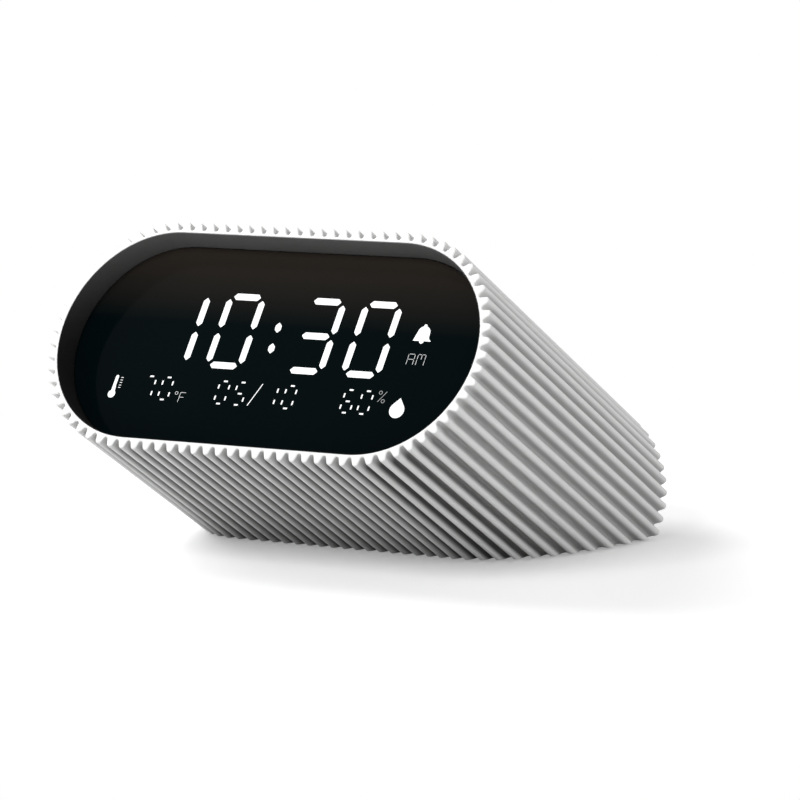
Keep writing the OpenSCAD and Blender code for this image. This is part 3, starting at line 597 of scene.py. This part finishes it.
def ribbed_shell():
    """The white tube, cut flat below, hollowed and opened for what it holds."""
    shell = finished("ribbed_shell_piece", prism(ribbed_outline(), 0, TUBE_LEN, RIB_END, EDGE))
    boolean(shell, finished("table", box_mesh((-WIDE, -WIDE, -WIDE), (WIDE, WIDE, FLOOR_BOTTOM)), GROUND))
    boolean(shell, finished("opening", flared(OPENING_R, 0, BEZEL_BACK, True, False)))
    cavity = finished("cavity", flared(INNER_R, BEZEL_BACK - FIT, TUBE_LEN, False, True))
    floor = finished("floor", box_mesh((-WIDE, -WIDE, -WIDE), (WIDE, WIDE, FLOOR_TOP)), GROUND)
    boolean(shell, boolean(cavity, floor))
    boolean(shell, bay_cutter())
    for cutter in [*foot_cutters(), *screw_cutters()]:
        boolean(shell, cutter)
    shell = reshaded(shell)
    measure_ribs(shell.data)
    return paint(standing_for(shell, "ribbed_shell"), "white_shell")


def measure_ribs(mesh):
    """Stores how high on its rib each corner of a face lies, and 1 on all faces that aren't ribs."""
    back = CASE.inverted()
    places = [back @ v.co for v in mesh.vertices]
    above = [(math.hypot(max(abs(p.x) - HALF_STRAIGHT, 0), p.z) - VALLEY_R) / RIB_DEPTH for p in places]
    along = (CASE.to_3x3() @ Vector((0, 1, 0))).normalized()
    height = mesh.attributes.new("rib_height", "FLOAT", "CORNER")
    for polygon in mesh.polygons:
        outside = min(above[v] for v in polygon.vertices) > INSIDE
        end, underside = abs(polygon.normal @ along) >= 0.5, polygon.normal.z <= -0.999
        rib = outside and not end and not underside
        for corner, vert in zip(polygon.loop_indices, polygon.vertices):
            height.data[corner].value = above[vert] if rib else 1.0


ribbed_shell()

# ---- plain visible pieces, all but the liner with their edges rounded ----

WINDOW_GAP = 0.15 * MM   # taken off the window all round, so that a shadow line shows
LIP = 0.2 * MM           # step from the opening to the liner's front edge


def front_bezel():
    """The black liner, its wall drawn in evenly from a thin lip to the window."""
    outline = stadium(OPENING_R - LIP)
    draft = stepped(outline, [(-REACH, 0), (bezel_low.y, 0), (window_low.y, OPENING_R - LIP - WINDOW_R)])
    liner = boolean(finished("front_bezel_piece", copied("front_bezel"), GROUND), finished("draft", draft))
    return paint(standing_for(reshaded(liner), "front_bezel"), "black_bezel")


def display_window():
    """The window, a shadow line short of its frame all round."""
    bm = prism(stadium(WINDOW_R - WINDOW_GAP), window_low.y, window_high.y, 0.12 * MM, 0.12 * MM)
    return paint(standing_for(finished("display_window_piece", bm), "display_window"), "window_black")


front_bezel()
display_window()

# Pieces that need no more than rounded edges, with the rounding in millimetres
SOFTENED = {
    "rear_cover": 0.15, "battery_door": 0.2, "alarm_button": 0.4,
    "set_button": 0.4, "snooze_button": 0.4, "down_button": 0.4, "up_button": 0.4, "alarm_switch": 0.25,
    "usb_shell": 0.06, "usb_tongue": 0.08, "rubber_feet": 0.15, "cover_screws": 0.1, "base_screws": 0.1,
    "battery_tray": 0.2, "battery_cells": 0.25}
for node, radius in SOFTENED.items():
    paint(softened(node, radius * MM), SLOT_OF[node])

# ---- marks of the display, in millimetres on the window's face ----

SLANT = 0.0656          # of the digits, sideways for each unit of height
MARK_T = 0.03           # thickness of a mark
MARK_SINK = 0.01        # of its back below the surface it lies on
DISPLAY_MIDDLE = 0.5, -0.35     # of the marks' own middle, from the middle of the face
SEGMENTS = {"0": "abcdef", "1": "bc", "3": "abcdg", "5": "acdfg", "6": "acdefg", "7": "abc"}
# Half height and half width of a digit, length and thickness of its bars, and how pointed they are
LARGE = {"rise": 10.34, "side": 5.33, "across": (8.7, 1.95), "along": (8.5, 2.0), "point": 0.9,
         "round": 0.16}
SMALL = {"rise": 3.33, "side": 1.68, "across": (1.25, 0.46), "along": (1.25, 0.44), "point": 0.3,
         "round": 0.08}
THIN = 0.13             # width of the lines of small letters
# Digits with the places of their middles
TIME = [("1", -33.94), ("0", -15.83), ("3", 10.3), ("0", 28.3)]
LOW_ROW = [("7", -38.9), ("0", -33.06), ("0", -14.4), ("5", -8.58), ("1", 1.5), ("0", 7.41),
           ("6", 26.2), ("0", 31.7)]
TIME_Z = 5.94
LOW_Z = -12.35


def rounded(points, r):
    """The outline with its corners rounded by arcs that start r away from each corner."""
    out = []
    for i, p in enumerate(points):
        p, before, after = Vector(p), Vector(points[i - 1]), Vector(points[(i + 1) % len(points)])
        start, end = p + r * (before - p).normalized(), p + r * (after - p).normalized()
        for t in (0, 1 / 3, 2 / 3, 1):
            out.append(tuple((1 - t) ** 2 * start + 2 * t * (1 - t) * p + t ** 2 * end))
    return out


def bar(cx, cz, length, thick, point, standing=False):
    """Bar of a digit, its ends cut to points."""
    tip, cut = length / 2, thick / 2 * point
    half = thick / 2
    ends = [(tip, 0), (tip - cut, half), (cut - tip, half), (-tip, 0), (cut - tip, -half), (tip - cut, -half)]
    if point < 1:
        flat = half - cut
        ends = [(tip, -flat), (tip, flat), (tip - cut, half), (cut - tip, half), (-tip, flat), (-tip, -flat),
                (cut - tip, -half), (tip - cut, -half)]
    return [(cx - z, cz + x) if standing else (cx + x, cz + z) for x, z in ends]


def slanted(points, z0):
    """The points leaning as the digits do, from the height z0 on."""
    return [(x + SLANT * (z - z0), z) for x, z in points]


def digit(kind, cx, cz, size):
    """Outlines of the lit bars of a digit."""
    rise, side = size["rise"], size["side"]
    places = {"a": (0, rise), "g": (0, 0), "d": (0, -rise), "b": (side, rise / 2), "c": (side, -rise / 2),
              "e": (-side, -rise / 2), "f": (-side, rise / 2)}
    for name in SEGMENTS[kind]:
        x, z = places[name]
        flat = name in "agd"
        shape = bar(cx + x, cz + z, *size["across" if flat else "along"], size["point"], not flat)
        yield slanted(rounded(shape, size["round"]), cz)


def stroke(x0, z0, x1, z1, width, past=0.0):
    """Straight line of that width between two points, run past both ends or else with rounded corners."""
    start, end = Vector((x0, z0)), Vector((x1, z1))
    along = (end - start).normalized()
    side = Vector((-along.y, along.x)) * width / 2
    start, end = start - past * along, end + past * along
    corners = [tuple(p) for p in (start - side, end - side, end + side, start + side)]
    return corners if past else rounded(corners, width / 3)


def bell(cx, cz, k):
    """Bell with its knob and clapper, centred on the foot of its flare, k times the display's bell."""
    flare = [(3.6 + x, 1.45 + z) for x, z in arc_points(0, 0, 1.55, 180, 245, 6)]
    right = [(2.95, -0.1)] + flare[::-1]
    dome = arc_points(0, 2.5, 2.05, 0, 180, 24)
    body = [(-2.95, -0.1)] + right + dome + [(-x, z) for x, z in right[:0:-1]]
    shapes = (body, arc_points(0, 4.6, 0.55, 0, 345, 23), arc_points(-0.05, -0.15, 0.75, 180, 360, 12))
    return [[(cx + k * x, cz + k * z) for x, z in shape] for shape in shapes]


def drop(cx, cz, r, tip_x, tip_z):
    """Drop: a circle run out to a tip."""
    reach = math.hypot(tip_x - cx, tip_z - cz)
    open_to = math.degrees(math.acos(r / reach))
    axis = math.degrees(math.atan2(tip_z - cz, tip_x - cx))
    return arc_points(cx, cz, r, axis + open_to, axis + 360 - open_to, 40) + [(tip_x, tip_z)]


def thermometer(cx, cz, r, half, height):
    """Bulb with its stem."""
    neck = math.degrees(math.acos(half / r))
    bulb = arc_points(0, 0, r, 180 - neck, 360 + neck, 32)
    stem = arc_points(0, height, half, 0, 180, 12)
    return slanted([(cx + x, cz + z) for x, z in bulb + stem], cz)


def ring(cx, cz, r, width):
    """A ring, as the outline of its outside and that of its hole."""
    return arc_points(cx, cz, r, 0, 350, 35), arc_points(cx, cz, r - width, 0, 350, 35)


def plate(outline, y, way, middle):
    """Thin solid of an outline in millimetres, standing out of the surface at depth y towards way."""
    near, far = sorted((y - way * MARK_SINK * MM, y + way * MARK_T * MM))
    points = [((x + middle[0]) * MM, (z + middle[1]) * MM) for x, z in outline]
    bm = prism(points, near, far)
    bmesh.ops.triangulate(bm, faces=[f for f in bm.faces if len(f.verts) > 4])
    return finished("plate", bm)


def merged(name, parts):
    """One object of all those parts, whose solids may overlap."""
    whole = parts[0]
    for part in parts[1:]:
        boolean(whole, part, "UNION")
    whole.name = whole.data.name = name
    return whole


def mark(name, outlines, holes=(), material="lit_white", y=window_low.y, way=-1,
         middle=DISPLAY_MIDDLE):
    """Marks of one colour on a face of the case, as one piece."""
    piece = merged(name, [plate(o, y, way, middle) for o in outlines])
    for hole in holes:
        boolean(piece, plate(hole, y, 3 * way, middle))
    piece = reshaded(piece)
    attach(piece, "case")
    return paint(piece, material)


def display_marks():
    """All that the display shows."""
    mark("time_digits", [o for kind, x in TIME for o in digit(kind, x, TIME_Z, LARGE)])
    mark("low_row_digits", [o for kind, x in LOW_ROW for o in digit(kind, x, LOW_Z, SMALL)])
    dots = [(-2.39, 7.78), (-2.67, 1.56)]
    mark("time_colon", [rounded(bar(x, z, 2.95, 1.95, 0.9, True), 0.2) for x, z in dots])
    mark("date_stroke", [stroke(-5.16, -15.68, -2.04, -9.02, 0.24)])
    mark("alarm_bell", bell(43.8, 6.5, 0.94))
    mark("humidity_drop", [drop(42.06, -13.9, 2.28, 42.3, -10.35)])
    ticks = [stroke(-48.75 - 0.03 * k, z, -48.0 - 0.03 * k, z, 0.16)
             for k, z in enumerate((-9.98, -10.76, -11.5, -12.3, -13.0))]
    mark("thermometer_mark", [thermometer(-50.46, -15.02, 1.18, 0.5, 5.2), *ticks])
    degree, inside = ring(-29.04, -13.46, 0.5, THIN)
    letter = [(-27.75, -13.2, -27.95, -16.1), (-27.75, -13.2, -26.0, -13.2), (-27.85, -14.6, -26.4, -14.6)]
    mark("degree_mark", [degree], [inside], "lit_soft")
    mark("fahrenheit_mark", [stroke(*line, THIN) for line in letter], (), "lit_soft")
    upper, upper_in = ring(35.7, -9.2, 0.55, THIN)
    lower, lower_in = ring(37.0, -11.6, 0.55, THIN)
    percent = [upper, lower, stroke(35.4, -11.9, 37.6, -8.8, THIN)]
    mark("percent_mark", percent, [upper_in, lower_in], "lit_faint")
    am_marks()


def am_marks():
    """AM in thin bars."""
    low, high, middle = -0.55, 2.5, 0.98
    first, second, third, fourth, fifth = 41.0, 43.0, 43.95, 45.15, 46.35
    lines = [(first, low, first, middle - 0.1), (first, middle + 0.1, first, high - 0.15),
             (second, low, second, middle - 0.1), (second, middle + 0.1, second, high - 0.15),
             (first + 0.2, high, second - 0.2, high), (first + 0.2, middle, second - 0.2, middle),
             (third, low, third, middle - 0.1), (third, middle + 0.1, third, high - 0.15),
             (fourth, middle + 0.1, fourth, high - 0.15), (third + 0.2, high, fourth - 0.2, high),
             (fourth + 0.2, high, fifth - 0.2, high), (fifth, middle + 0.1, fifth, high - 0.15),
             (fifth, low, fifth, middle - 0.1)]
    mark("am_mark", [slanted(stroke(*line, THIN), middle) for line in lines], (), "lit_soft")


display_marks()

# ---- marks behind and below, in millimetres, behind laid out as seen from behind ----

# Letters as lines through points, in a box 0.6 wide and 1 high
LETTERS = {
    "E": [[(0.55, 0), (0, 0), (0, 1), (0.55, 1)], [(0, 0.5), (0.45, 0.5)]],
    "F": [[(0, 0), (0, 1), (0.55, 1)], [(0, 0.5), (0.45, 0.5)]],
    "N": [[(0, 0), (0, 1), (0.6, 0), (0.6, 1)]],
    "O": [[(0.15, 0), (0.45, 0), (0.6, 0.2), (0.6, 0.8), (0.45, 1), (0.15, 1), (0, 0.8), (0, 0.2),
           (0.15, 0)]],
    "S": [[(0, 0.12), (0.15, 0), (0.45, 0), (0.6, 0.15), (0.6, 0.38), (0.45, 0.5), (0.15, 0.5), (0, 0.65),
           (0, 0.85), (0.15, 1), (0.45, 1), (0.6, 0.88)]],
    "T": [[(0, 1), (0.6, 1)], [(0.3, 0), (0.3, 1)]],
    "Z": [[(0, 1), (0.6, 1), (0, 0), (0.6, 0)]],
}
LETTER_H = 1.6
LETTER_STEP = 0.9 * LETTER_H    # from one letter to the next
LINE_W = 0.26                   # of letters and signs
LABEL_Z = 12.2                  # middle of the labels below the buttons
SWITCH_LABEL_Z = 4.3            # and of those below the switch
ON_SIDE, OFF_SIDE = -0.8, 4.6   # their places beside the switch's middle


def word(text, cx, cz):
    """Outlines of a word's lines, centred on a point."""
    left = cx - (LETTER_STEP * (len(text) - 1) + 0.6 * LETTER_H) / 2
    for i, letter in enumerate(text):
        for line in LETTERS[letter]:
            points = [(left + LETTER_STEP * i + LETTER_H * x, cz + LETTER_H * (z - 0.5)) for x, z in line]
            for start, end in zip(points, points[1:]):
                yield stroke(*start, *end, LINE_W, 0.3 * LINE_W)


def cover_mark(name, outlines):
    """A grey mark on the rear cover."""
    flipped = [[(-x, z) for x, z in outline] for outline in outlines]
    mark(name, flipped, (), "mark_grey", cover_high.y, 1, (0, 0))


def middle_of(node):
    """Place of a control across the rear cover, in millimetres as seen from behind."""
    low, high = box_in(CASE, node)
    return -(low.x + high.x) / 2 / MM


def cover_marks():
    """Labels of the buttons and the switch."""
    at = {name: middle_of(name + "_button") for name in ("alarm", "set", "snooze", "down", "up")}
    sign = 0.4 * LETTER_H
    cover_mark("alarm_label", bell(at["alarm"], LABEL_Z - 0.95, 0.38))
    cover_mark("set_label", list(word("SET", at["set"], LABEL_Z)))
    cover_mark("snooze_label", list(word("SNOOZE", at["snooze"], LABEL_Z)))
    cover_mark("down_label", [stroke(at["down"] - sign, LABEL_Z, at["down"] + sign, LABEL_Z, LINE_W)])
    cover_mark("up_label", [stroke(at["up"] - sign, LABEL_Z, at["up"] + sign, LABEL_Z, LINE_W),
                            stroke(at["up"], LABEL_Z - sign, at["up"], LABEL_Z + sign, LINE_W)])
    for text, beside in (("ON", ON_SIDE), ("OFF", OFF_SIDE)):
        lines = list(word(text, middle_of("alarm_switch") + beside, SWITCH_LABEL_Z))
        cover_mark(text.lower() + "_label", lines)


def door_arrow():
    """Raised arrow on the battery door, pointing the way it slides."""
    low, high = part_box("battery_door")
    half, head, tip = 1.1 * MM, 2.6 * MM, high.y - 4 * MM
    neck, end = tip - 3 * MM, tip - 6 * MM
    outline = [(-half, end), (half, end), (half, neck), (head, neck), (0, tip), (-head, neck), (-half, neck)]
    arrow = finished("door_arrow", upright(outline, low.z - 0.3 * MM, low.z + MARK_SINK * MM), GROUND)
    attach(arrow, BODY_OF["battery_door"])
    paint(arrow, SLOT_OF["battery_door"])


cover_marks()
door_arrow()

# ---- camera, light and floor ----

VIEW_PLACE = 33.5, 7.19      # azimuth and elevation of the camera, from the middle of the front face
VIEW_AIM = 31.624, 8.034     # azimuth and elevation that its back points to
VIEW_ROLL = -0.913
VIEW_DISTANCE = 1.1379
VIEW_LENS = 188.93           # on a sensor 36 mm wide

FLOOR_SEEN = (0.80, 0.80, 0.80, 1)      # colour of the floor as seen
FLOOR_THROWN = (0.62, 0.62, 0.62, 1)    # and for the light that it throws back
FLOOR_LIFT = 0.3             # white added to the floor as seen, which softens the shadow
FLOOR_FADE = 0.16, 0.3       # distances over which the floor runs out into white
STUDIO_LIGHT = 0.35          # strength of the even light from all round
# Name, azimuth, elevation, distance, width, height and watts of each lamp
LAMPS = [("left", -93, 40, 1.3, 0.8, 0.8, 13.5), ("front", -8, 38, 1.5, 0.5, 0.5, 12),
         ("right", 88, 12, 1.3, 0.5, 0.6, 4.0)]


def away(azimuth, elevation):
    """Unit vector from the clock towards a viewer at that azimuth and elevation, in degrees."""
    azimuth, elevation = math.radians(azimuth), math.radians(elevation)
    return Vector((math.sin(azimuth) * math.cos(elevation), -math.cos(azimuth) * math.cos(elevation),
                   math.sin(elevation)))


def make_camera():
    """The camera, on the photograph's view."""
    camera = bpy.data.objects.new("camera", bpy.data.cameras.new("camera"))
    bpy.context.scene.collection.objects.link(camera)
    camera.location = CASE.translation + VIEW_DISTANCE * away(*VIEW_PLACE)
    roll = Quaternion((0, 0, 1), math.radians(VIEW_ROLL))
    camera.rotation_mode = "QUATERNION"
    camera.rotation_quaternion = (-away(*VIEW_AIM)).to_track_quat("-Z", "Y") @ roll
    camera.data.sensor_width, camera.data.lens = 36, VIEW_LENS
    camera.data.clip_start, camera.data.clip_end = 0.05, 20
    bpy.context.scene.camera = camera


def soft_light(name, azimuth, elevation, distance, width, height, watts):
    """Large lamp that faces the clock from that side."""
    lamp = bpy.data.lights.new(name, "AREA")
    lamp.shape, lamp.size, lamp.size_y, lamp.energy = "RECTANGLE", width, height, watts
    light = bpy.data.objects.new(name, lamp)
    bpy.context.scene.collection.objects.link(light)
    back = away(azimuth, elevation)
    light.location = Vector((0, 0, 0.045)) + distance * back
    light.rotation_mode = "QUATERNION"
    light.rotation_quaternion = (-back).to_track_quat("-Z", "Y")


def seen_ray(tree):
    """Socket that is 1 for what the camera sees, straight or mirrored or through glass."""
    rays = tree.nodes.new("ShaderNodeLightPath").outputs
    mirrored = calculated(tree, "MAXIMUM", rays["Is Glossy Ray"], rays["Is Transmission Ray"])
    return calculated(tree, "MAXIMUM", rays["Is Camera Ray"], mirrored)


def make_floor():
    """Pale floor with the shadow on it, running out into white, that throws back less light than it shows."""
    bpy.ops.mesh.primitive_plane_add(size=8)
    floor = bpy.context.object
    floor.name = "floor"
    material, tree, shader, place = new_material("floor")
    tree.nodes.remove(shader)
    seen = tree.nodes.new("ShaderNodeBsdfDiffuse")
    seen.inputs["Color"].default_value = FLOOR_SEEN
    unseen = tree.nodes.new("ShaderNodeBsdfDiffuse")
    unseen.inputs["Color"].default_value = FLOOR_THROWN
    lift = tree.nodes.new("ShaderNodeEmission")
    lift.inputs["Strength"].default_value = FLOOR_LIFT
    both = tree.nodes.new("ShaderNodeAddShader")
    tree.links.new(seen.outputs[0], both.inputs[0])
    tree.links.new(lift.outputs[0], both.inputs[1])
    distance = tree.nodes.new("ShaderNodeVectorMath")
    distance.operation = "LENGTH"
    tree.links.new(place, distance.inputs[0])
    far = tree.nodes.new("ShaderNodeMixShader")
    tree.links.new(ranged(tree, distance.outputs["Value"], 0.0, 1.0, *FLOOR_FADE), far.inputs[0])
    tree.links.new(both.outputs[0], far.inputs[1])
    tree.links.new(tree.nodes.new("ShaderNodeEmission").outputs[0], far.inputs[2])
    choose = tree.nodes.new("ShaderNodeMixShader")
    tree.links.new(seen_ray(tree), choose.inputs[0])
    tree.links.new(unseen.outputs[0], choose.inputs[1])
    tree.links.new(far.outputs[0], choose.inputs[2])
    tree.links.new(choose.outputs[0], tree.nodes["Material Output"].inputs["Surface"])
    floor.data.materials.append(material)


def make_world():
    """Even studio light, shown white behind the clock."""
    world = bpy.data.worlds.new("studio")
    world.use_nodes = True
    tree = world.node_tree
    even = tree.nodes["Background"]
    even.inputs["Color"].default_value = (1, 1, 1, 1)
    even.inputs["Strength"].default_value = STUDIO_LIGHT
    seen = tree.nodes.new("ShaderNodeBackground")
    seen.inputs["Color"].default_value = (1, 1, 1, 1)
    choose = tree.nodes.new("ShaderNodeMixShader")
    tree.links.new(seen_ray(tree), choose.inputs[0])
    tree.links.new(even.outputs[0], choose.inputs[1])
    tree.links.new(seen.outputs[0], choose.inputs[2])
    tree.links.new(choose.outputs[0], tree.nodes["World Output"].inputs["Surface"])
    bpy.context.scene.world = world


make_camera()
make_floor()
make_world()
for lamp in LAMPS:
    soft_light(*lamp)
bpy.context.scene.view_settings.view_transform = "Standard"
